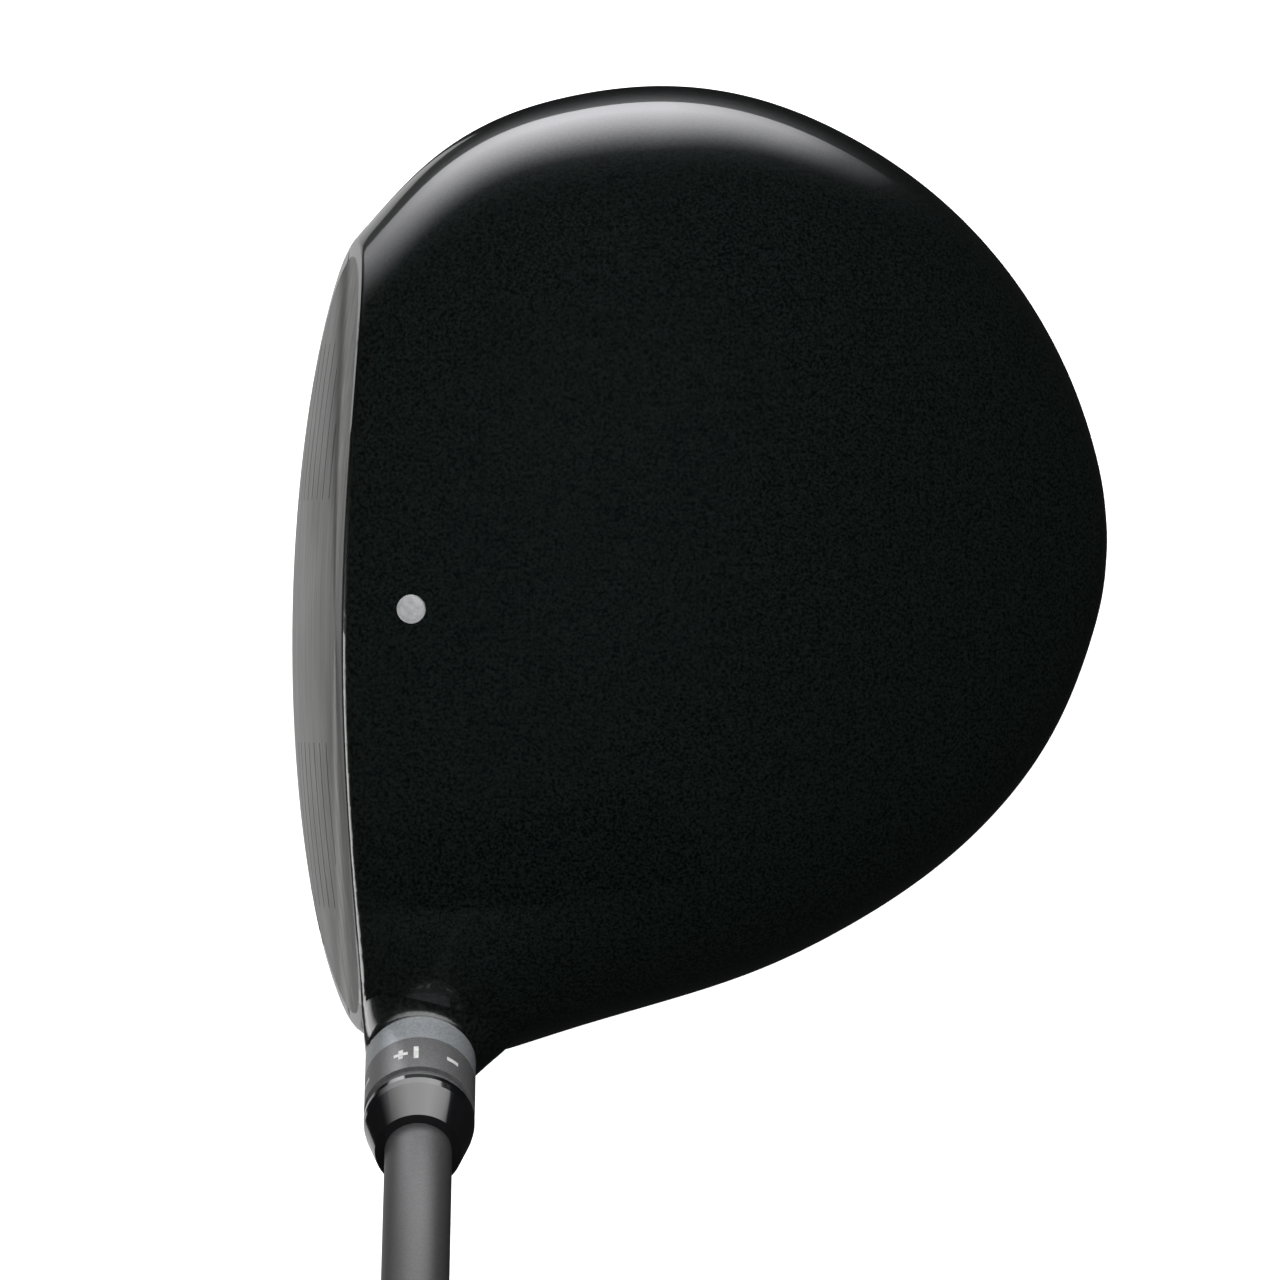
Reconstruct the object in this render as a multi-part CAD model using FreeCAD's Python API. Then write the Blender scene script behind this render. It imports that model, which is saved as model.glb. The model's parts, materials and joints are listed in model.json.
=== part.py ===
import FreeCAD, Part
import math
import os

os.makedirs("parts", exist_ok=True)

V = FreeCAD.Vector

# ---------------------------------------------------------------- driving dimensions (mm)
# Head hull: cross sections square to X, as (x, y toe, y heel, z top, z bottom, top power, sole power)
SECTIONS = [
    (-46.0, 30.4, -40.0, 47.5, 8.0, 2.4, 2.0),
    (-40.0, 37.4, -46.0, 51.6, 4.2, 2.4, 2.0),
    (-36.0, 42.2, -49.5, 53.6, 2.4, 2.4, 2.0),
    (-30.0, 49.3, -54.4, 55.8, 0.7, 2.35, 2.0),
    (-23.0, 56.7, -57.6, 57.7, -0.3, 2.3, 2.05),
    (-14.0, 62.6, -56.5, 59.3, -0.7, 2.25, 2.1),
    (-4.0, 65.8, -53.4, 60.0, -0.7, 2.2, 2.1),
    (8.0, 67.1, -49.9, 59.2, -0.3, 2.2, 2.1),
    (20.0, 65.4, -45.9, 56.6, 1.1, 2.2, 2.1),
    (32.0, 60.4, -40.0, 52.2, 3.8, 2.2, 2.1),
    (43.0, 52.8, -32.6, 46.4, 7.7, 2.2, 2.1),
    (52.0, 43.2, -23.8, 40.2, 12.2, 2.2, 2.1),
    (58.5, 32.6, -13.9, 34.4, 16.6, 2.15, 2.1),
    (62.6, 21.8, -3.3, 29.9, 20.2, 2.1, 2.05),
    (64.1, 14.9, 3.1, 27.3, 22.1, 2.0, 2.0),
    (64.5, 10.4, 7.6, 25.2, 23.8, 2.0, 2.0),
]
HULL_MID = V(9.0, 4.5, 30.0)
HULL_SPAN = V(110.0, 125.0, 60.5)
RIM_Z, RIM_DX, RIM_DY = 31.5, -0.10, -0.072
WALL = 1.2

# Face
FACE_R = 250.0
FACE_MID = V(-38.1, -4.5, 29.0)
LOFT = 8.5
FACE_EDGE = 1.1
PLATE_INSET, PLATE_T = 1.05, 2.8
SCORE_DEPTH, SCORE_W, SCORE_STEP, SCORE_N = 0.15, 0.35, 4.6, 7
SCORE_TOE, SCORE_HEEL = (14.0, 34.0), (-38.0, -17.0)

# Crown panel
CROWN_UP, CROWN_SLOPE, CROWN_FRONT = 8.5, -0.07, 2.0
DOT_X, DOT_R, DOT_UP, DOT_DEEP = -24.2, 1.83, 0.12, 0.5

# Hosel axis: ground point and direction; stations s run up it
HOSEL_FOOT = V(-23.2, -28.7, 0.0)
LIE = 58.0
NECK_TOP, NECK_R, TUBE_R, BORE_R = 54.3, 7.0, 8.0, 6.0
WEB_LOW, WEB_TOP, WEB_HOLE_R, RECESS_R = 21.2, 23.8, 2.7, 5.0
NECK_FLARE = [(NECK_TOP, 6.9), (53.7, 7.05), (53.1, 7.35), (52.5, 7.8), (51.8, 8.45), (51, 9.3), (50.2, 10.3)]
SEAT_R, CROWN_CLEAR_R = 7.4, 13.0
RING_TOP, SEAT_GAP = 59.0, 0.03
COLLAR_TOP, GROOVE_TOP, GROOVE_R = 65.6, 67.6, 6.4
SLEEVE_LOW, SLEEVE_R, THREAD_DEEP = 24.6, 5.95, 34.8
SPLINE_LOW, SPLINE_TOP, SPLINES = 26.0, 33.0, 12
SPLINE_CORE, SPLINE_TIP, SPLINE_GAP, SPLINE_HALF = 4.5, 5.2, 0.1, 0.62
SCREW_R, THREAD_R, SCREW_TIP = 2.5, 2.55, 33.0
SCREW_HEAD_R, SCREW_HEAD_LOW, WASHER_LOW, WASHER_R, WASHER_HOLE = 4.2, 16.0, 20.0, 4.6, 2.6
SOCKET_R, SOCKET_DEEP = 1.9, 2.6

# Shaft axis leans 1.5 degrees more upright, crossing the hosel axis at RING_TOP; stations t from there
TILT = 1.5
TIP_T, TIP_PARALLEL, BUTT_T = -23.0, 60.0, 1093.0
TIP_R, BUTT_R, TAPER_END = 4.25, 7.6, 830.0
TIP_WALL, BUTT_WALL, SHAFT_BORE_R = 1.25, 0.8, 4.3
FERRULE_TOP, FERRULE_LOW_R, FERRULE_TOP_R = 16.0, 7.0, 5.5
GRIP_MOUTH, GRIP_MOUTH_R, GRIP_BUTT_R, CAP_END = 831.0, 10.0, 13.3, 1098.0
TAPE_T, CAP_SKIRT, VENT_R = 0.3, 6.0, 1.4

# Rear weight
WEIGHT_AT = V(42.0, 4.0, 0.0)
WEIGHT_LEAN = 22.0
WEIGHT_R, WEIGHT_T, WEIGHT_SUNK, PORT_R, PORT_DEEP = 10.2, 4.5, 0.5, 10.5, 4.55
BOSS_R, BOSS_DEEP, WEIGHT_SCREW_TIP, WEIGHT_HEAD_R, WEIGHT_HEAD_T = 12.4, 13.0, 11.5, 4.0, 2.2

RIB_T, RIB_H = 1.0, 4.0
RIBS = {"rib_toe": 24.0, "rib_heel": -12.0}


# ---------------------------------------------------------------- helpers
def rim_z(x, y):
    return RIM_Z + RIM_DX * x + RIM_DY * y


def shrink(p, t):
    """Move a hull point toward the middle so the wall comes out about t thick."""
    return V(HULL_MID.x + (p.x - HULL_MID.x) * (1 - 2 * t / HULL_SPAN.x),
             HULL_MID.y + (p.y - HULL_MID.y) * (1 - 2 * t / HULL_SPAN.y),
             HULL_MID.z + (p.z - HULL_MID.z) * (1 - 2 * t / HULL_SPAN.z))


def power(c, n):
    return math.copysign(abs(c) ** (2.0 / n), c)


def closed_curve(points):
    curve = Part.BSplineCurve()
    curve.interpolate(Points=points, PeriodicFlag=True)
    return Part.Wire([curve.toShape()])


def section(row, t, count=28):
    x, toe, heel, top, bottom, n_top, n_sole = row
    mid, half = (toe + heel) / 2, (toe - heel) / 2
    points = []
    for i in range(count):
        angle = 2 * math.pi * i / count
        c, s = math.cos(angle), math.sin(angle)
        n, edge = (n_top, top) if s >= 0 else (n_sole, bottom)
        y = mid + half * power(c, n)
        rise = abs(power(s, n))
        z = rim_z(x, y) * (1 - rise) + edge * rise
        points.append(shrink(V(x, y, z), t))
    return closed_curve(points)


def hull(t):
    return Part.makeLoft([section(row, t) for row in SECTIONS], True, False)


def face_ball(depth):
    """Ball whose near side is the face, moved back by depth."""
    a = math.radians(LOFT)
    back = V(math.cos(a), 0, -math.sin(a))
    return Part.makeSphere(FACE_R - depth, FACE_MID + back * FACE_R)


def above_seam():
    """Block whose underside lies along the crown seam."""
    corners = []
    for x, y in ((-80, -90), (90, -90), (90, 90), (-80, 90)):
        corners.append(V(x, y, rim_z(x, y) + CROWN_UP + CROWN_SLOPE * x))
    return Part.Face(Part.makePolygon(corners + [corners[0]])).extrude(V(0, 0, 80))


def placed(shape, base, direction):
    shape = shape.copy()
    shape.Placement = FreeCAD.Placement(base, FreeCAD.Rotation(V(0, 0, 1), direction))
    return shape


def hosel_point(s):
    return HOSEL_FOOT + HOSEL_DIR * s


def on_hosel(shape):
    return placed(shape, HOSEL_FOOT, HOSEL_DIR)


def on_shaft(shape):
    return placed(shape, SHAFT_FOOT, SHAFT_DIR)


def turned(profile):
    """Solid of revolution about Z from (radius, height) points."""
    points = [V(r, 0, z) for r, z in profile]
    return Part.Face(Part.makePolygon(points + [points[0]])).revolve(V(0, 0, 0), V(0, 0, 1), 360)


def rod(r, low, high):
    return Part.makeCylinder(r, high - low, V(0, 0, low))


def tube(r_out, r_in, low, high):
    return rod(r_out, low, high).cut(rod(r_in, low - 1, high + 1))


def teeth(core, tip, half, low, high):
    """Radial bars that make the splines."""
    bars = []
    for i in range(SPLINES):
        bar = Part.makeBox(tip - core + 0.4, 2 * half, high - low, V(core - 0.4, -half, low))
        bar.rotate(V(0, 0, 0), V(0, 0, 1), 360.0 * i / SPLINES)
        bars.append(bar)
    return bars[0].fuse(bars[1:]).common(rod(tip, low, high))


def hex_rod(r, low, high):
    corners = [V(r * math.cos(math.pi * i / 3), r * math.sin(math.pi * i / 3), low) for i in range(6)]
    return Part.Face(Part.makePolygon(corners + [corners[0]])).extrude(V(0, 0, high - low))


def save(name, shape):
    if shape.ShapeType != "Solid" and len(shape.Solids) == 1:
        shape = shape.Solids[0]
    shape.exportStep("parts/" + name + ".step")


HOSEL_DIR = V(0, -math.cos(math.radians(LIE)), math.sin(math.radians(LIE)))
ACROSS = V(0, HOSEL_DIR.z, -HOSEL_DIR.y)
SHAFT_DIR = V(0, -math.cos(math.radians(LIE + TILT)), math.sin(math.radians(LIE + TILT)))
SHAFT_FOOT = hosel_point(RING_TOP)
WEIGHT_IN = V(-math.sin(math.radians(WEIGHT_LEAN)), 0, math.cos(math.radians(WEIGHT_LEAN)))

# ---------------------------------------------------------------- head hull
ball = face_ball(0)
blunt = hull(0).common(ball)
front = [e for e in blunt.Edges
         if abs(e.valueAt(e.FirstParameter).distanceToPoint(ball.CenterOfMass) - FACE_R) < 0.05]
outer = blunt.makeFillet(FACE_EDGE, front)
above_ground = Part.makeBox(200, 200, 120, V(-80, -100, 0))
outer = outer.common(above_ground)
inner = hull(WALL).common(face_ball(PLATE_T))

rings = []
for s, r in NECK_FLARE:
    ring = Part.Circle(V(0, 0, 0), V(0, 0, 1), r).toShape()
    shift = (ACROSS * 1.7 + V(0.8, 0, 0)) * (r - NECK_FLARE[0][1])
    rings.append(placed(Part.Wire([ring]), hosel_point(s) + shift, HOSEL_DIR))
neck = Part.makeLoft(rings, True, False)
seat_cut = on_hosel(rod(SEAT_R, NECK_TOP, NECK_TOP + 30))
skin = outer.fuse([neck, on_hosel(rod(NECK_R, 40, NECK_TOP))]).cut(seat_cut)
cavity = inner.cut(on_hosel(rod(TUBE_R, -10, NECK_TOP)))

# ---------------------------------------------------------------- weight port
probe = Part.Line(WEIGHT_AT, WEIGHT_AT + V(0, 0, 1)).toShape(-1, 28)
hit = outer.common(probe)
WEIGHT_FOOT = V(WEIGHT_AT.x, WEIGHT_AT.y, min(v.Z for v in hit.Vertexes))


def on_port(shape):
    return placed(shape, WEIGHT_FOOT, WEIGHT_IN)


port_zone = on_port(rod(BOSS_R, -6, BOSS_DEEP))
port_cut = on_port(rod(PORT_R, -6, PORT_DEEP + WEIGHT_SUNK)).fuse(on_port(rod(THREAD_R, 0, BOSS_DEEP - 0.6)))
weight_port = port_zone.common(outer).cut(port_cut)

# ---------------------------------------------------------------- body, crown, face plate, dot
plate_zone = hull(PLATE_INSET).common(face_ball(0)).cut(face_ball(PLATE_T))
face_plate = plate_zone.cut(on_hosel(rod(TUBE_R, -10, 60)))
shell = skin.cut([cavity, port_zone, plate_zone.cut(on_hosel(rod(TUBE_R, -10, 60)))])
bores = [on_hosel(rod(BORE_R, WEB_TOP, NECK_TOP + 2)), on_hosel(rod(WEB_HOLE_R, 0, NECK_TOP)),
         on_hosel(rod(RECESS_R, -6, WEB_LOW))]
shell = shell.cut(bores)

crown_zone = above_seam().common(face_ball(CROWN_FRONT))
crown_zone = crown_zone.cut(on_hosel(rod(CROWN_CLEAR_R, -10, 80)))
crown = shell.common(crown_zone)
body = shell.cut(crown_zone)

dot_axis = V(DOT_X, 0, 0)
dot_top = [v.Z for v in outer.common(Part.Line(dot_axis, dot_axis + V(0, 0, 1)).toShape(40, 80)).Vertexes]
dot_z = max(dot_top)
dot_cut = Part.makeCylinder(DOT_R, 20, V(DOT_X, 0, dot_z - DOT_DEEP))
crown = crown.cut(dot_cut)
dot = Part.makeCylinder(DOT_R, DOT_DEEP + DOT_UP, V(DOT_X, 0, dot_z - DOT_DEEP))
dome = Part.makeSphere(9.0, V(DOT_X, 0, dot_z + DOT_UP + 0.1 - 9.0))
dot = dot.common(dome)

for score_group in (SCORE_TOE, SCORE_HEEL):
    for i in range(SCORE_N):
        z = FACE_MID.z + (i - (SCORE_N - 1) / 2) * SCORE_STEP
        slot = Part.makeBox(14, score_group[1] - score_group[0], SCORE_W, V(-48, score_group[0], z))
        face_plate = face_plate.cut(slot.cut(face_ball(SCORE_DEPTH)))

save("head_body", body)
save("crown", crown)
save("face_plate", face_plate)
save("alignment_dot", dot)
save("weight_port", weight_port)
for name, y in RIBS.items():
    blade = Part.makeBox(52, RIB_T, 40, V(-22, y, -4)).common(inner).cut(hull(WALL + RIB_H))
    save(name, blade.common(above_ground))

# ---------------------------------------------------------------- hosel stack
insert = tube(BORE_R, SPLINE_CORE + SPLINE_GAP, SPLINE_LOW, SPLINE_TOP)
insert = insert.cut(teeth(SPLINE_CORE, SPLINE_TIP + SPLINE_GAP, SPLINE_HALF + SPLINE_GAP, SPLINE_LOW - 1,
                          SPLINE_TOP + 1))
save("spline_insert", on_hosel(insert))

save("index_ring", on_hosel(tube(NECK_R, BORE_R, NECK_TOP + SEAT_GAP, RING_TOP - SEAT_GAP)))

sleeve = rod(SPLINE_CORE, SLEEVE_LOW, SPLINE_TOP + 1).fuse(
    [teeth(SPLINE_CORE, SPLINE_TIP, SPLINE_HALF, SPLINE_LOW, SPLINE_TOP),
     rod(SLEEVE_R, SPLINE_TOP + 1, RING_TOP), rod(NECK_R, RING_TOP, COLLAR_TOP),
     rod(GROOVE_R, COLLAR_TOP, GROOVE_TOP)])
sleeve = sleeve.cut(rod(THREAD_R, SLEEVE_LOW - 1, THREAD_DEEP))
sleeve = on_hosel(sleeve).cut(on_shaft(rod(SHAFT_BORE_R, TIP_T, 40)))
save("loft_sleeve", sleeve)

hosel_screw = rod(SCREW_HEAD_R, SCREW_HEAD_LOW, WASHER_LOW).fuse(rod(SCREW_R, WASHER_LOW, SCREW_TIP))
hosel_screw = hosel_screw.cut(hex_rod(SOCKET_R, SCREW_HEAD_LOW - 1, SCREW_HEAD_LOW + SOCKET_DEEP))
save("hosel_screw", on_hosel(hosel_screw))
save("hosel_washer", on_hosel(tube(WASHER_R, WASHER_HOLE, WASHER_LOW + SEAT_GAP, WEB_LOW - SEAT_GAP)))

# ---------------------------------------------------------------- shaft, ferrule and grip
shaft = turned([(TIP_R - TIP_WALL, TIP_T), (TIP_R, TIP_T), (TIP_R, TIP_PARALLEL), (BUTT_R, TAPER_END),
                (BUTT_R, BUTT_T), (BUTT_R - BUTT_WALL, BUTT_T), (BUTT_R - BUTT_WALL, TAPER_END),
                (TIP_R - TIP_WALL, TIP_PARALLEL)])
save("shaft", on_shaft(shaft))
save("tip_plug", on_shaft(rod(TIP_R - TIP_WALL, TIP_T, TIP_T + 12)))

ferrule = turned([(TIP_R, 5.0), (FERRULE_LOW_R, 5.0), (FERRULE_LOW_R, 9.6), (6.85, 10.6),
                  (FERRULE_TOP_R, FERRULE_TOP), (TIP_R, FERRULE_TOP)])
ferrule = on_shaft(ferrule).cut(on_hosel(rod(12, 50, GROOVE_TOP)))
save("ferrule", ferrule)

save("grip_tape", on_shaft(tube(BUTT_R + TAPE_T, BUTT_R, GRIP_MOUTH + 1, BUTT_T - CAP_SKIRT)))
hold_r = BUTT_R + TAPE_T
grip = turned([(hold_r, GRIP_MOUTH), (GRIP_MOUTH_R - 0.6, GRIP_MOUTH), (GRIP_MOUTH_R, GRIP_MOUTH + 1.5),
               (GRIP_BUTT_R - 0.6, BUTT_T - CAP_SKIRT - 30), (GRIP_BUTT_R, BUTT_T - CAP_SKIRT),
               (hold_r, BUTT_T - CAP_SKIRT)])
save("grip", on_shaft(grip))
cap = turned([(BUTT_R, BUTT_T - CAP_SKIRT), (GRIP_BUTT_R, BUTT_T - CAP_SKIRT), (GRIP_BUTT_R, BUTT_T + 1.5),
              (GRIP_BUTT_R - 1.2, BUTT_T + 3.6), (GRIP_BUTT_R - 4.0, CAP_END), (VENT_R, CAP_END),
              (VENT_R, BUTT_T), (BUTT_R, BUTT_T)])
save("grip_cap", on_shaft(cap))

# ---------------------------------------------------------------- rear weight and its screw
low = WEIGHT_SUNK
head_seat = rod(WEIGHT_HEAD_R + 0.1, low - 1, low + 0.4 + WEIGHT_HEAD_T + SEAT_GAP)
weight = rod(WEIGHT_R, low, low + WEIGHT_T).cut([head_seat,
                                                 rod(THREAD_R, low - 1, low + WEIGHT_T + 1)])
save("rear_weight", on_port(weight))
screw = rod(WEIGHT_HEAD_R, low + 0.4, low + 0.4 + WEIGHT_HEAD_T).fuse(rod(SCREW_R, low + 1, WEIGHT_SCREW_TIP))
screw = screw.cut(hex_rod(SOCKET_R, low, low + 2.0))
save("rear_weight_screw", on_port(screw))
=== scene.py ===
import json
import math

import bmesh
import bpy
import numpy as np
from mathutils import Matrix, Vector
from mathutils.bvhtree import BVHTree
from mathutils.interpolate import poly_3d_calc


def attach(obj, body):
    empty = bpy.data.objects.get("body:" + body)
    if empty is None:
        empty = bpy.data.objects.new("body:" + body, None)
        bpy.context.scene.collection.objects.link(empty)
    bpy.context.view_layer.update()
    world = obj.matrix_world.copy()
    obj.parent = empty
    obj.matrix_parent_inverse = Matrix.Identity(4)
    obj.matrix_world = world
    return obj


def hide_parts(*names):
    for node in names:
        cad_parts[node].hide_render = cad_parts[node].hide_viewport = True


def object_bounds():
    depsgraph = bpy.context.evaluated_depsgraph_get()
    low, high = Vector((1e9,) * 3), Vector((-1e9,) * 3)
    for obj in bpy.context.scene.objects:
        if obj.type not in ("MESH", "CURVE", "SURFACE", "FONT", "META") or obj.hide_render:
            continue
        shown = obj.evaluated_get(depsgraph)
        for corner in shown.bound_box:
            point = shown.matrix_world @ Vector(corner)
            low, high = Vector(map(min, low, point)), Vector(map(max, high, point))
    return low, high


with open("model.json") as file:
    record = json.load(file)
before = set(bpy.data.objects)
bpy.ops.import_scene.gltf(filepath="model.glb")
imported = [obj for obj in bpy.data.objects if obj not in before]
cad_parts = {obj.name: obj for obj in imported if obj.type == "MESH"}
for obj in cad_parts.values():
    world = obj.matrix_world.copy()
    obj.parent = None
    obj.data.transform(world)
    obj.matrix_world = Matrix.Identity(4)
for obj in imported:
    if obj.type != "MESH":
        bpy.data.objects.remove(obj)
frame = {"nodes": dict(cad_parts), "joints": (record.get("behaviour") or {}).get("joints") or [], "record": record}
cad_low, cad_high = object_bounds()
nodes = frame["nodes"]
mounts = {m["name"]: m for m in frame["record"]["mounts"]}
joints = {j["name"]: j for j in frame["joints"]}
scene = bpy.context.scene


# ------------------------------------------------------------------ materials
def material(name, color, rough, metal=0.0, **sockets):
    mat = bpy.data.materials.new(name)
    mat.use_nodes = True
    shader = mat.node_tree.nodes["Principled BSDF"]
    shader.inputs["Base Color"].default_value = (*color, 1)
    shader.inputs["Roughness"].default_value = rough
    shader.inputs["Metallic"].default_value = metal
    for key, value in sockets.items():
        shader.inputs[key.replace("_", " ")].default_value = value
    return mat, shader


def node(mat, kind, **props):
    made = mat.node_tree.nodes.new(kind)
    for key, value in props.items():
        if hasattr(made, key):
            setattr(made, key, value)
        else:
            made.inputs[key.replace("_", " ")].default_value = value
    return made


def link(mat, source, target):
    mat.node_tree.links.new(source, target)


def noise(mat, scale, detail=3.0, rough=0.55, stretch=None):
    """Noise texture on object coordinates, stretched along an axis when asked."""
    coords = node(mat, "ShaderNodeTexCoord")
    texture = node(mat, "ShaderNodeTexNoise", Scale=scale, Detail=detail, Roughness=rough)
    if stretch:
        mapping = node(mat, "ShaderNodeMapping")
        mapping.inputs["Scale"].default_value = stretch
        link(mat, coords.outputs["Object"], mapping.inputs["Vector"])
        link(mat, mapping.outputs["Vector"], texture.inputs["Vector"])
    else:
        link(mat, coords.outputs["Object"], texture.inputs["Vector"])
    return texture


def ramp(mat, source, low, high, at=(0.35, 0.65)):
    """Blend between two colours over a range of the source."""
    made = node(mat, "ShaderNodeValToRGB")
    made.color_ramp.elements[0].position, made.color_ramp.elements[1].position = at
    made.color_ramp.elements[0].color = (*low, 1)
    made.color_ramp.elements[1].color = (*high, 1)
    link(mat, source, made.inputs["Fac"])
    return made.outputs["Color"]


def spread(mat, source, low, high):
    made = node(mat, "ShaderNodeMapRange")
    made.inputs["To Min"].default_value = low
    made.inputs["To Max"].default_value = high
    link(mat, source, made.inputs["Value"])
    return made.outputs["Result"]


def bump(mat, shader, source, strength, distance):
    made = node(mat, "ShaderNodeBump", Strength=strength, Distance=distance)
    link(mat, source, made.inputs["Height"])
    link(mat, made.outputs["Normal"], shader.inputs["Normal"])


def crown_gloss():
    mat, shader = material("crown_gloss", (0.006, 0.008, 0.007), 0.32, Coat_Weight=1.0, Coat_Roughness=0.02,
                           Specular_IOR_Level=0.25)
    flakes = noise(mat, 2600, 2.0)
    link(mat, ramp(mat, flakes.outputs["Fac"], (0.0012, 0.0020, 0.0019), (0.0072, 0.0112, 0.0102)),
         shader.inputs["Base Color"])
    return mat


def body_gloss():
    mat, shader = material("body_paint", (0.007, 0.007, 0.006), 0.3, Coat_Weight=0.9, Coat_Roughness=0.04,
                           Specular_IOR_Level=0.3)
    flakes = noise(mat, 2200, 2.0)
    link(mat, ramp(mat, flakes.outputs["Fac"], (0.0013, 0.0019, 0.0017), (0.0072, 0.0104, 0.0094)),
         shader.inputs["Base Color"])
    return mat


def face_metal():
    mat, shader = material("face_titanium", (0.30, 0.30, 0.29), 0.42, metal=0.9, Anisotropic=0.6)
    streaks = noise(mat, 900, 4.0, 0.6, (1.0, 0.035, 1.0))
    blotch = noise(mat, 60, 3.0)
    link(mat, ramp(mat, streaks.outputs["Fac"], (0.165, 0.165, 0.162), (0.31, 0.31, 0.302), (0.3, 0.7)),
         shader.inputs["Base Color"])
    link(mat, spread(mat, blotch.outputs["Fac"], 0.34, 0.52), shader.inputs["Roughness"])
    bump(mat, shader, streaks.outputs["Fac"], 0.25, 0.00002)
    return mat


def brushed(name, low, high, rough, metal=1.0, scale=1500):
    mat, shader = material(name, high, rough, metal=metal)
    grain = noise(mat, scale, 3.0)
    link(mat, ramp(mat, grain.outputs["Fac"], low, high), shader.inputs["Base Color"])
    link(mat, spread(mat, grain.outputs["Fac"], rough - 0.08, rough + 0.08), shader.inputs["Roughness"])
    return mat


def ferrule_black():
    mat, shader = material("ferrule_black", (0.008, 0.008, 0.009), 0.12, Coat_Weight=0.6, Coat_Roughness=0.04)
    wear = noise(mat, 500, 4.0)
    link(mat, spread(mat, wear.outputs["Fac"], 0.09, 0.17), shader.inputs["Roughness"])
    return mat


def shaft_paint():
    mat, shader = material("shaft_paint", (0.12, 0.12, 0.124), 0.42, metal=0.35)
    grain = noise(mat, 3200, 3.0)
    link(mat, ramp(mat, grain.outputs["Fac"], (0.072, 0.072, 0.074), (0.104, 0.104, 0.108)),
         shader.inputs["Base Color"])
    link(mat, spread(mat, grain.outputs["Fac"], 0.38, 0.48), shader.inputs["Roughness"])
    return mat


def rubber():
    mat, shader = material("grip_rubber", (0.022, 0.022, 0.024), 0.72)
    grain = noise(mat, 2200, 4.0)
    link(mat, ramp(mat, grain.outputs["Fac"], (0.015, 0.015, 0.016), (0.034, 0.034, 0.037)),
         shader.inputs["Base Color"])
    bump(mat, shader, grain.outputs["Fac"], 0.35, 0.0001)
    return mat


def mark_white():
    mat, shader = material("mark_white", (0.78, 0.79, 0.78), 0.5)
    grain = noise(mat, 1500, 3.0)
    link(mat, ramp(mat, grain.outputs["Fac"], (0.62, 0.63, 0.62), (0.85, 0.86, 0.85)),
         shader.inputs["Base Color"])
    return mat


looks = {
    "crown_gloss": crown_gloss(),
    "body_paint": body_gloss(),
    "face_titanium": face_metal(),
    "dot_silver": brushed("dot_silver", (0.48, 0.49, 0.50), (0.62, 0.63, 0.64), 0.30, metal=0.4, scale=1400),
    "ring_grey": brushed("ring_grey", (0.29, 0.31, 0.33), (0.40, 0.42, 0.44), 0.34, metal=0.3, scale=2600),
    "sleeve_grey": brushed("sleeve_grey", (0.13, 0.13, 0.134), (0.17, 0.17, 0.175), 0.38, metal=0.25,
                           scale=2600),
    "bare_metal": brushed("bare_metal", (0.46, 0.46, 0.45), (0.60, 0.60, 0.59), 0.36),
    "ferrule_black": ferrule_black(),
    "shaft_paint": shaft_paint(),
    "grip_rubber": rubber(),
    "tape": brushed("tape", (0.60, 0.56, 0.45), (0.74, 0.70, 0.58), 0.8, metal=0.0, scale=400),
    "screw_steel": brushed("screw_steel", (0.32, 0.32, 0.33), (0.46, 0.46, 0.47), 0.30),
    "mark_white": mark_white(),
}
slots = {s["node"]: s["material_slot"] for s in frame["record"]["subparts"]}
for name, obj in nodes.items():
    obj.data.materials.clear()
    obj.data.materials.append(looks[slots[name]])

# ------------------------------------------------------------------ hosel frame
turn = joints["index_turn"]
hosel_dir = Vector(turn["axis"]).normalized()
ring_top = Vector(turn["pos_m"])
side = Vector((1, 0, 0))
upper = hosel_dir.cross(side).normalized()
if upper.z < 0:
    upper = -upper
COLLAR_R = 0.0070

# ------------------------------------------------------------------ smooth outer skin of the head
# Cross sections square to X, in mm: x, y toe, y heel, z top, z bottom, top power, sole power
SECTIONS = [
    (-46.0, 30.4, -40.0, 47.5, 8.0, 2.4, 2.0), (-40.0, 37.4, -46.0, 51.6, 4.2, 2.4, 2.0),
    (-36.0, 42.2, -49.5, 53.6, 2.4, 2.4, 2.0), (-30.0, 49.3, -54.4, 55.8, 0.7, 2.35, 2.0),
    (-23.0, 56.7, -57.6, 57.7, -0.3, 2.3, 2.05), (-14.0, 62.6, -56.5, 59.3, -0.7, 2.25, 2.1),
    (-4.0, 65.8, -53.4, 60.0, -0.7, 2.2, 2.1), (8.0, 67.1, -49.9, 59.2, -0.3, 2.2, 2.1),
    (20.0, 65.4, -45.9, 56.6, 1.1, 2.2, 2.1), (32.0, 60.4, -40.0, 52.2, 3.8, 2.2, 2.1),
    (43.0, 52.8, -32.6, 46.4, 7.7, 2.2, 2.1), (52.0, 43.2, -23.8, 40.2, 12.2, 2.2, 2.1),
    (58.5, 32.6, -13.9, 34.4, 16.6, 2.15, 2.1), (62.6, 21.8, -3.3, 29.9, 20.2, 2.1, 2.05),
    (64.1, 14.9, 3.1, 27.3, 22.1, 2.0, 2.0), (64.5, 10.4, 7.6, 25.2, 23.8, 2.0, 2.0)]
# Centre of the sphere that the face lies on
FACE_RADIUS, FACE_LOFT = 0.250, math.radians(8.5)
FACE_CENTRE = Vector((-0.0381 + FACE_RADIUS * math.cos(FACE_LOFT), -0.0045,
                      0.029 - FACE_RADIUS * math.sin(FACE_LOFT)))
# The skin is what lies this near the hull, clear of the face edge's round, the sole pad and the neck
SKIN_NEAR, FILLET, PAD_TOP = 0.0005, 0.00115, 0.00002
NECK_CLEAR_R, NECK_LOW = 0.0115, 0.025
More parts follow.
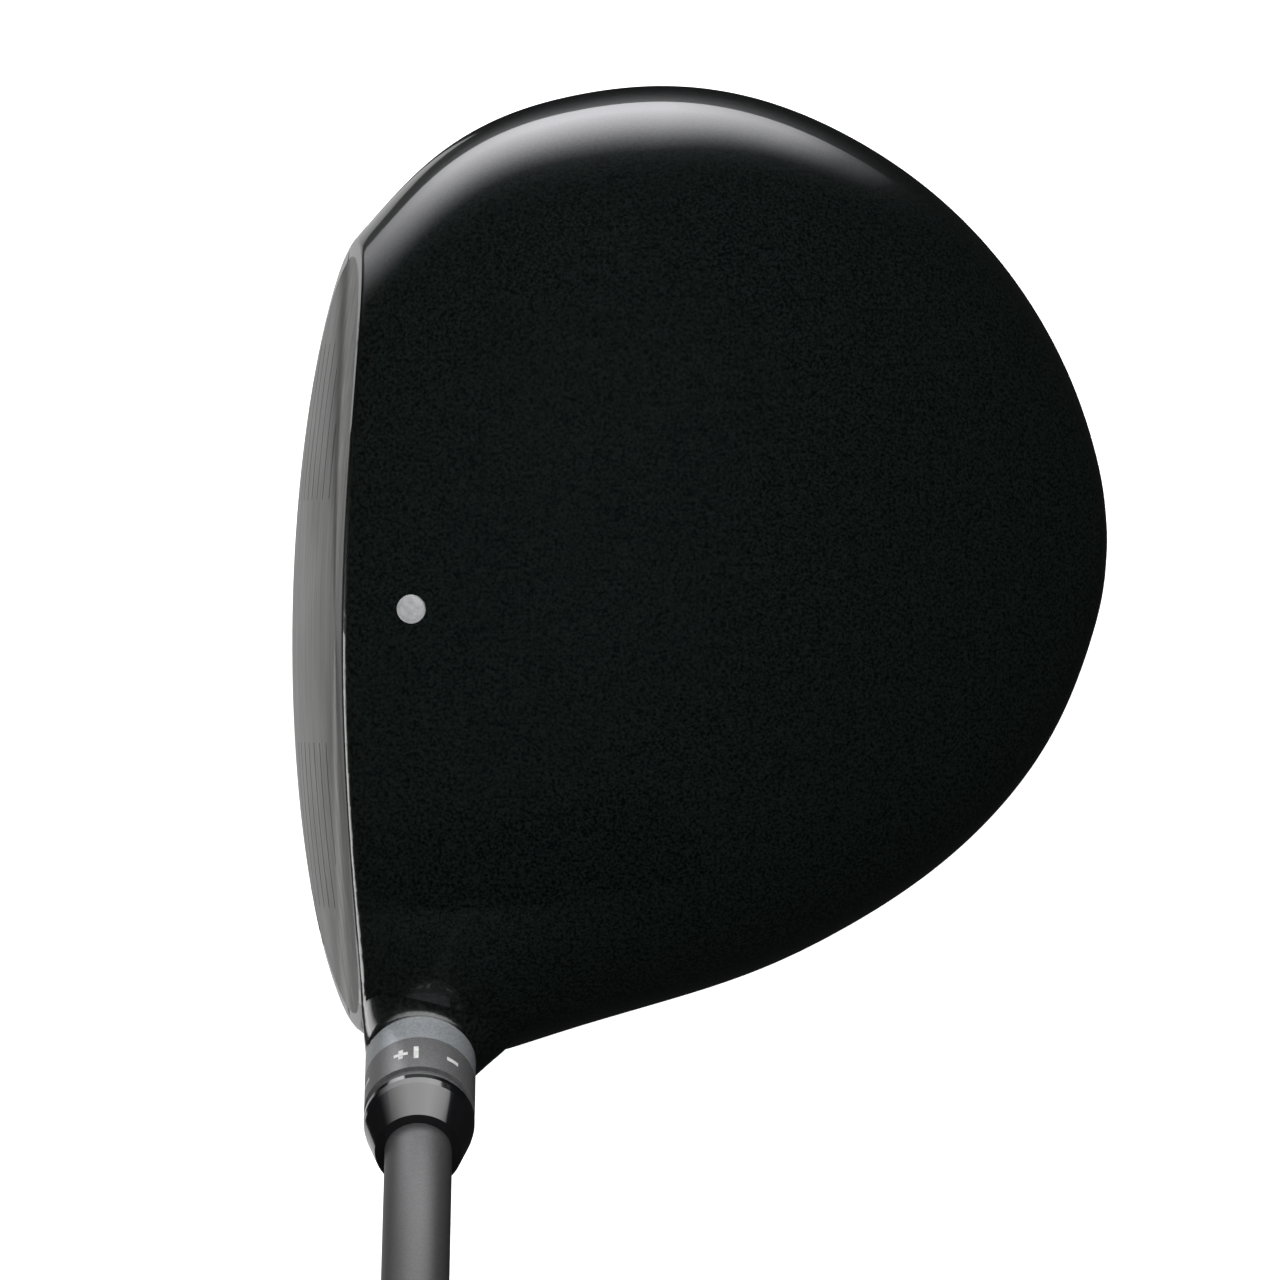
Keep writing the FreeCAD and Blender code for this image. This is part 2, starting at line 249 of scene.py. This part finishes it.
# Height of the widest line, in mm: at the origin, per mm of x and per mm of y
RIM_Z, RIM_PER_X, RIM_PER_Y = 31.5, -0.10, -0.072


def cubic(t, values, at):
    """Natural cubic spline through the rows of values."""
    h = np.diff(t)
    count = len(t)
    matrix, right = np.eye(count), np.zeros(values.shape)
    for i in range(1, count - 1):
        matrix[i, i - 1:i + 2] = h[i - 1], 2 * (h[i - 1] + h[i]), h[i]
        right[i] = 6 * ((values[i + 1] - values[i]) / h[i] - (values[i] - values[i - 1]) / h[i - 1])
    curl = np.linalg.solve(matrix, right)
    k = np.clip(np.searchsorted(t, at) - 1, 0, count - 2)
    a, b, hk = (t[k + 1] - at)[:, None], (at - t[k])[:, None], h[k][:, None]
    return ((curl[k] * a ** 3 + curl[k + 1] * b ** 3) / (6 * hk) + (values[k] / hk - curl[k] * hk / 6) * a
            + (values[k + 1] / hk - curl[k + 1] * hk / 6) * b)


def section_points(row, count):
    x, toe, heel, top, bottom, n_top, n_sole = row
    angle = np.linspace(0, 2 * np.pi, count, endpoint=False)
    c, s = np.cos(angle), np.sin(angle)
    n = np.where(s >= 0, n_top, n_sole)
    y = (toe + heel) / 2 + (toe - heel) / 2 * np.sign(c) * np.abs(c) ** (2 / n)
    rise = np.abs(s) ** (2 / n)
    rim = RIM_Z + RIM_PER_X * x + RIM_PER_Y * y
    z = rim * (1 - rise) + np.where(s >= 0, top, bottom) * rise
    return np.stack([np.full(count, x), y, z], axis=1) / 1000


def hull_grid(round_count=224, per_span=12):
    """Grid of points on the outer hull, with their normals."""
    rings = np.array([section_points(row, 28) for row in SECTIONS])
    steps = np.linalg.norm(np.diff(rings, axis=0), axis=2).mean(axis=1)
    t = np.concatenate([[0], np.cumsum(steps)])
    spans = [np.linspace(t[i], t[i + 1], per_span, endpoint=False) for i in range(len(t) - 1)]
    at = np.concatenate(spans + [t[-1:]])
    rows = cubic(t, np.array(SECTIONS), at)
    grid = np.array([section_points(row, round_count) for row in rows])
    along = np.gradient(grid, axis=0)
    across = np.roll(grid, -1, axis=1) - np.roll(grid, 1, axis=1)
    normal = np.cross(across, along)
    normal /= np.linalg.norm(normal, axis=2, keepdims=True) + 1e-12
    outward = np.sum(normal * (grid - grid.mean(axis=(0, 1))), axis=2).mean()
    return grid, normal if outward > 0 else -normal


grid, grid_normals = hull_grid()
rows, cols = grid.shape[:2]
hull_points = [Vector(p) for p in grid.reshape(-1, 3)]
hull_normals = [Vector(n) for n in grid_normals.reshape(-1, 3)]
hull_faces = [(i * cols + j, i * cols + (j + 1) % cols, (i + 1) * cols + (j + 1) % cols, (i + 1) * cols + j)
              for i in range(rows - 1) for j in range(cols)]
hull_tree = BVHTree.FromPolygons(hull_points, hull_faces)


def on_hull(point):
    """Nearest hull point, its smooth normal and the distance."""
    place, _, index, gap = hull_tree.find_nearest(point)
    corners = hull_faces[index]
    weights = poly_3d_calc([hull_points[c] for c in corners], place)
    smooth = Vector((0, 0, 0))
    for c, w in zip(corners, weights):
        smooth += hull_normals[c] * w
    return place, smooth.normalized(), gap


def is_skin(point, gap):
    from_ring = point - ring_top
    off_hosel = (from_ring - hosel_dir * from_ring.dot(hosel_dir)).length
    behind_face = (point - FACE_CENTRE).length < FACE_RADIUS - FILLET
    off_neck = off_hosel > NECK_CLEAR_R or point.z < NECK_LOW
    return gap < SKIN_NEAR and behind_face and point.z > PAD_TOP and off_neck


def smooth_skin(name, source, longest=0.0016):
    """Copy of a CAD node whose outer skin is finer and lies on the true hull."""
    mesh = nodes[source].data.copy()
    mesh.transform(nodes[source].matrix_world)
    bm = bmesh.new()
    bm.from_mesh(mesh)
    bmesh.ops.remove_doubles(bm, verts=bm.verts, dist=2e-6)
    skin = set()
    for v in bm.verts:
        place, _, gap = on_hull(v.co)
        if is_skin(v.co, gap):
            v.co = place
            skin.add(v)
    for _ in range(4):
        long_edges = [e for e in bm.edges if e.verts[0] in skin and e.verts[1] in skin
                      and e.calc_length() > longest
                      and on_hull((e.verts[0].co + e.verts[1].co) / 2)[2] < 0.0004]
        if not long_edges:
            break
        before = set(bm.verts)
        bmesh.ops.subdivide_edges(bm, edges=long_edges, cuts=1)
        for v in set(bm.verts) - before:
            place, _, gap = on_hull(v.co)
            if is_skin(v.co, gap):
                v.co = place
                skin.add(v)
        bmesh.ops.triangulate(bm, faces=[f for f in bm.faces if len(f.verts) > 3], quad_method="SHORT_EDGE")
    bm.to_mesh(mesh)
    bm.free()
    mesh.shade_smooth()
    mesh.set_sharp_from_angle(angle=0.45)
    normals = [Vector(n.vector) for n in mesh.corner_normals]
    for face in mesh.polygons:
        hits = [on_hull(mesh.vertices[i].co) for i in face.vertices]
        if all(hit[2] < 0.00001 for hit in hits) and face.normal.dot(hits[0][1]) > 0.85:
            for corner, hit in zip(face.loop_indices, hits):
                normals[corner] = hit[1]
    mesh.normals_split_custom_set(normals)
    obj = bpy.data.objects.new(name, mesh)
    scene.collection.objects.link(obj)
    mesh.materials.clear()
    mesh.materials.append(looks[slots[source]])
    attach(obj, "head")
    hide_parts(source)
    return obj


smooth_skin("head_shell", "head_body")
smooth_skin("crown_panel", "crown")

# ------------------------------------------------------------------ sleeve marks
def on_collar(u, v, lift):
    """Point on the collar: u metres round it from the upper line, v metres above the ring."""
    angle = u / COLLAR_R
    out = upper * math.cos(angle) + side * math.sin(angle)
    return ring_top + hosel_dir * v + out * (COLLAR_R + lift)


def wrap(name, verts, faces, thick=0.00004):
    """Thin raised mark bent onto the collar from flat outline vertices."""
    count = len(verts)
    points = [on_collar(u, v, 0.000005) for u, v in verts] + [on_collar(u, v, thick) for u, v in verts]
    solid = [tuple(reversed(f)) for f in faces] + [tuple(i + count for i in f) for f in faces]
    edges = [edge for f in faces for edge in zip(f, f[1:] + f[:1])]
    inner = set(edges)
    solid += [(a, b, b + count, a + count) for a, b in edges if (b, a) not in inner]
    mesh = bpy.data.meshes.new(name)
    mesh.from_pydata(points, [], solid)
    obj = bpy.data.objects.new(name, mesh)
    scene.collection.objects.link(obj)
    mesh.materials.append(looks["mark_white"])
    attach(obj, "shaft_assembly")
    return obj


def flat_bar(name, u, v, width, height, steps=6):
    verts = [(u + width * (i / steps - 0.5), v + height * (j - 0.5))
             for j in range(2) for i in range(steps + 1)]
    faces = [(i, i + 1, i + 2 + steps, i + 1 + steps) for i in range(steps)]
    return wrap(name, verts, faces)


def ring_mark(name, u, v, radius, stroke, steps=28, narrow=0.75):
    verts = [(u + r * math.cos(2 * math.pi * i / steps) * narrow, v + r * math.sin(2 * math.pi * i / steps))
             for r in (radius - stroke, radius) for i in range(steps)]
    faces = [(i, (i + 1) % steps, steps + (i + 1) % steps, steps + i) for i in range(steps)]
    return wrap(name, verts, faces)


# dial: +1, 0 and -1 with ticks between
MARK_V, STROKE, DIGIT_TALL, ARM_SHIFT = 0.0034, 0.00062, 0.0026, 0.00065
TICK_LONG, TICK_TALL = 0.0017, 0.0007
flat_bar("sleeve_plus_bar", -0.0024, MARK_V, 0.0019, STROKE)
flat_bar("sleeve_plus_upper", -0.0024, MARK_V + ARM_SHIFT, STROKE, 0.0006, 2)
flat_bar("sleeve_plus_lower", -0.0024, MARK_V - ARM_SHIFT, STROKE, 0.0006, 2)
flat_bar("sleeve_plus_one", -0.0004, MARK_V, STROKE, DIGIT_TALL, 2)
ring_mark("sleeve_zero", 0.0128, MARK_V, DIGIT_TALL / 2, STROKE)
flat_bar("sleeve_minus_bar", -0.0166, MARK_V, 0.0016, STROKE)
flat_bar("sleeve_minus_one", -0.0150, MARK_V, STROKE, DIGIT_TALL, 2)
flat_bar("sleeve_tick", 0.0045, MARK_V, TICK_LONG, TICK_TALL)
flat_bar("sleeve_tick_left", -0.0088, MARK_V, TICK_LONG, TICK_TALL)

# ------------------------------------------------------------------ grip with moulded grooves
vent = mounts["butt_vent"]
butt_end = Vector(vent["pos_m"])
inward = -Vector(vent["axis"]).normalized()
GRIP_NEAR, GRIP_FAR, GRIP_HOLE = 0.011, 0.267, 0.0079
GRIP_OUTLINE = ((GRIP_NEAR, 0.0133), (0.041, 0.0127), (0.2655, 0.0100), (GRIP_FAR, 0.0094))


def grip_radius(t):
    """Outer radius of the plain grip, t metres in from the butt end."""
    for (t0, r0), (t1, r1) in zip(GRIP_OUTLINE, GRIP_OUTLINE[1:]):
        if t <= t1:
            return r0 + (r1 - r0) * (t - t0) / (t1 - t0)
    return GRIP_OUTLINE[-1][1]


RING_PLACES = (0.024, 0.027, 0.150, 0.153, 0.250, 0.253)
RING_DEPTH, RING_HALF = 0.00035, 0.0011
DIAGONAL_DEPTH, DIAGONAL_PITCH, DIAGONAL_STARTS, DIAGONAL_HALF = 0.00030, 0.022, 6, 0.34


def groove(t, turn_angle):
    """Depth of the moulded pattern: crossed diagonals between plain bands, rings at the bands."""
    depth = 0.0
    for ring in RING_PLACES:
        depth = max(depth, RING_DEPTH * max(0.0, 1 - abs(t - ring) / RING_HALF))
    if 0.032 < t < 0.145 or 0.158 < t < 0.245:
        for sign in (1, -1):
            wave = abs(math.sin(DIAGONAL_STARTS * turn_angle + sign * 2 * math.pi * t / DIAGONAL_PITCH))
            depth = max(depth, DIAGONAL_DEPTH * max(0.0, 1 - wave / DIAGONAL_HALF))
    return depth


def grip_mesh(around=168, spacing=0.001):
    across = inward.cross(side).normalized()
    steps = round((GRIP_FAR - GRIP_NEAR) / spacing)
    stations = [GRIP_NEAR + (GRIP_FAR - GRIP_NEAR) * i / steps for i in range(steps + 1)]
    loops = [(t, None) for t in stations] + [(GRIP_FAR, GRIP_HOLE), (GRIP_NEAR, GRIP_HOLE)]
    verts = []
    for t, hole in loops:
        for k in range(around):
            a = 2 * math.pi * k / around
            r = hole or grip_radius(t) - groove(t, a)
            verts.append(butt_end + inward * t + (side * math.cos(a) + across * math.sin(a)) * r)
    faces = []
    for i in range(len(loops)):
        j = (i + 1) % len(loops)
        for k in range(around):
            m = (k + 1) % around
            faces.append((i * around + k, j * around + k, j * around + m, i * around + m))
    return verts, faces


grip_data = bpy.data.meshes.new("grip_rubber_sleeve")
grip_verts, grip_faces = grip_mesh()
grip_data.from_pydata(grip_verts, [], grip_faces)
grip_data.materials.append(looks["grip_rubber"])
grip_data.shade_smooth()
grip_data.set_sharp_from_angle(angle=0.9)
grip_obj = bpy.data.objects.new("grip_rubber_sleeve", grip_data)
scene.collection.objects.link(grip_obj)
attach(grip_obj, "shaft_assembly")
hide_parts("grip")

# ------------------------------------------------------------------ floor
floor_z = cad_low.z
bpy.ops.mesh.primitive_plane_add(size=8, location=(0, 0, floor_z - 0.0002))
floor = bpy.context.object
floor.name = "floor"
paper, shader = material("floor_paper", (0.9, 0.9, 0.9), 0.9, Emission_Color=(1, 1, 1, 1),
                         Emission_Strength=0.95)
grain = noise(paper, 40, 2.0)
link(paper, ramp(paper, grain.outputs["Fac"], (0.90, 0.90, 0.90), (0.93, 0.93, 0.93)),
     shader.inputs["Base Color"])
floor.data.materials.append(paper)
floor.visible_glossy = False
floor.visible_diffuse = False


# ------------------------------------------------------------------ lights
def fade_node(mat, source, stops):
    """Brightness by position: stops are (position, level)."""
    made = node(mat, "ShaderNodeValToRGB")
    points = made.color_ramp.elements
    points[0].position, points[1].position = stops[0][0], stops[-1][0]
    points[0].color = (stops[0][1],) * 3 + (1,)
    points[1].color = (stops[-1][1],) * 3 + (1,)
    for at, level in stops[1:-1]:
        points.new(at).color = (level,) * 3 + (1,)
    link(mat, source, made.inputs["Fac"])
    return made.outputs["Color"]


def softbox(name, low_edge, high_edge, strength, up=None, along=None, color=(1, 1, 1), one_sided=False):
    """Glowing strip between two rows of points, seen only in reflections; up and along fade it."""
    count = len(low_edge)
    mesh = bpy.data.meshes.new(name)
    mesh.from_pydata([Vector(c) for c in (*low_edge, *high_edge)], [],
                     [(i, i + 1, i + 1 + count, i + count) for i in range(count - 1)])
    layer = mesh.uv_layers.new(name="UVMap")
    for loop in mesh.loops:
        layer.data[loop.index].uv = (loop.vertex_index % count / (count - 1), loop.vertex_index // count)
    obj = bpy.data.objects.new(name, mesh)
    scene.collection.objects.link(obj)
    mat = bpy.data.materials.new(name)
    mat.use_nodes = True
    tree = mat.node_tree
    tree.nodes.remove(tree.nodes["Principled BSDF"])
    glow = node(mat, "ShaderNodeEmission", Strength=strength)
    glow.inputs["Color"].default_value = (*color, 1)
    link(mat, glow.outputs["Emission"], tree.nodes["Material Output"].inputs["Surface"])
    if up:
        uv = node(mat, "ShaderNodeUVMap")
        split = node(mat, "ShaderNodeSeparateXYZ")
        link(mat, uv.outputs["UV"], split.inputs["Vector"])
        times = node(mat, "ShaderNodeMath", operation="MULTIPLY")
        times.inputs[1].default_value = strength
        link(mat, fade_node(mat, split.outputs["Y"], up), times.inputs[0])
        level = times.outputs["Value"]
        if along:
            both = node(mat, "ShaderNodeMath", operation="MULTIPLY")
            link(mat, level, both.inputs[0])
            link(mat, fade_node(mat, split.outputs["X"], along), both.inputs[1])
            level = both.outputs["Value"]
        if one_sided:
            facing = node(mat, "ShaderNodeMath", operation="SUBTRACT")
            facing.inputs[0].default_value = 1.0
            link(mat, node(mat, "ShaderNodeNewGeometry").outputs["Backfacing"], facing.inputs[1])
            front = node(mat, "ShaderNodeMath", operation="MULTIPLY")
            link(mat, level, front.inputs[0])
            link(mat, facing.outputs["Value"], front.inputs[1])
            level = front.outputs["Value"]
        link(mat, level, glow.inputs["Strength"])
    mesh.materials.append(mat)
    obj.visible_camera = False
    obj.visible_diffuse = False
    obj.visible_shadow = False
    return obj


def area_light(name, place, target, size, power):
    light = bpy.data.lights.new(name, "AREA")
    light.energy, light.size = power, size
    obj = bpy.data.objects.new(name, light)
    obj.location = place
    obj.rotation_euler = (Vector(target) - Vector(place)).to_track_quat("-Z", "Y").to_euler()
    obj.visible_glossy = False
    scene.collection.objects.link(obj)
    return obj


# toe side: an arc that fades upwards and towards both ends, lower at the tail end
ARC, ARC_FROM, ARC_TO, ARC_STEPS = 1.05, -38, 64, 24
angles = [math.radians(ARC_FROM + (ARC_TO - ARC_FROM) * i / ARC_STEPS) for i in range(ARC_STEPS + 1)]
softbox("softbox_toe", [(-ARC * math.sin(a), ARC * math.cos(a), -0.80) for a in angles],
        [(-ARC * math.sin(a), ARC * math.cos(a), 0.12 + 0.55 * min(0, a + 0.1)) for a in angles], 5.7,
        up=[(0.0, 0.72), (0.30, 1.0), (0.49, 0.90), (0.63, 0.75), (0.755, 0.48), (0.867, 0.20), (0.95, 0.06),
            (1.0, 0.0)],
        along=[(0.0, 0.0), (0.06, 0.10), (0.14, 0.46), (0.33, 0.86), (0.5, 0.86), (0.68, 0.64), (0.8, 0.34),
               (0.88, 0.13), (0.95, 0.03), (1.0, 0.0)],
        color=(0.97, 0.96, 1.0))
# face side, low: the heel edge and the left edges
softbox("softbox_face", [(-1.0, -0.75, -0.45), (-1.0, 0.0, -0.45)], [(-1.0, -0.75, 0.35), (-1.0, 0.0, 0.35)],
        6.0, up=[(0.0, 0.5), (0.3, 1.0), (0.7, 0.8), (1.0, 0.0)])
# below the face, seen only in the brushed metal
softbox("softbox_low", [(-0.13, -0.12, -0.10), (-0.13, 0.12, -0.10)],
        [(-0.045, -0.12, -0.10), (-0.045, 0.12, -0.10)], 0.62)
# over the crown, facing the hosel: the ferrule's highlight
near_x = [-0.063 + 0.01 * i for i in range(9)]
softbox("softbox_near", [(x, -0.038, 0.0545) for x in near_x], [(x, -0.038, 0.085) for x in near_x], 4.0,
        up=[(0.0, 1.0), (0.6, 0.9), (1.0, 0.0)],
        along=[(0.0, 0.0), (0.2, 0.35), (0.4, 0.85), (0.6, 1.0), (0.8, 0.6), (1.0, 0.0)], one_sided=True)

area_light("fill_top", (0.1, 0.25, 1.6), (0, 0, 0), 1.4, 16)
area_light("fill_left", (-0.7, 0.5, 1.2), (0, 0, 0), 0.9, 2)
area_light("key_toe", (-0.02, 0.9, 0.75), (-0.02, -0.06, 0.05), 0.3, 6)
area_light("fill_heel", (0.3, -1.2, 1.2), (0, -0.2, 0.2), 1.0, 2)

# surroundings: white to the camera, faint to the surfaces
world = bpy.data.worlds.new("studio")
scene.world = world
world.use_nodes = True
tree = world.node_tree
back = tree.nodes["Background"]
path = tree.nodes.new("ShaderNodeLightPath")
level = tree.nodes.new("ShaderNodeMapRange")
level.inputs["To Min"].default_value, level.inputs["To Max"].default_value = 0.012, 1.0
sky = tree.nodes.new("ShaderNodeMath")
sky.operation = "MAXIMUM"
diffuse_part = tree.nodes.new("ShaderNodeMath")
diffuse_part.operation = "MULTIPLY"
diffuse_part.inputs[1].default_value = 0.10
tree.links.new(path.outputs["Is Camera Ray"], level.inputs["Value"])
tree.links.new(path.outputs["Is Diffuse Ray"], diffuse_part.inputs[0])
tree.links.new(level.outputs["Result"], sky.inputs[0])
tree.links.new(diffuse_part.outputs["Value"], sky.inputs[1])
tree.links.new(sky.outputs["Value"], back.inputs["Strength"])
back.inputs["Color"].default_value = (1, 1, 1, 1)

scene.view_settings.view_transform = "Standard"

# ------------------------------------------------------------------ camera
camera_data = bpy.data.cameras.new("camera")
camera = bpy.data.objects.new("camera", camera_data)
scene.collection.objects.link(camera)
scene.camera = camera
camera.location = (0.0046, -0.0039, 1.828)
camera_data.sensor_width = 36
camera_data.lens = 395.5
camera_data.clip_start, camera_data.clip_end = 0.1, 20
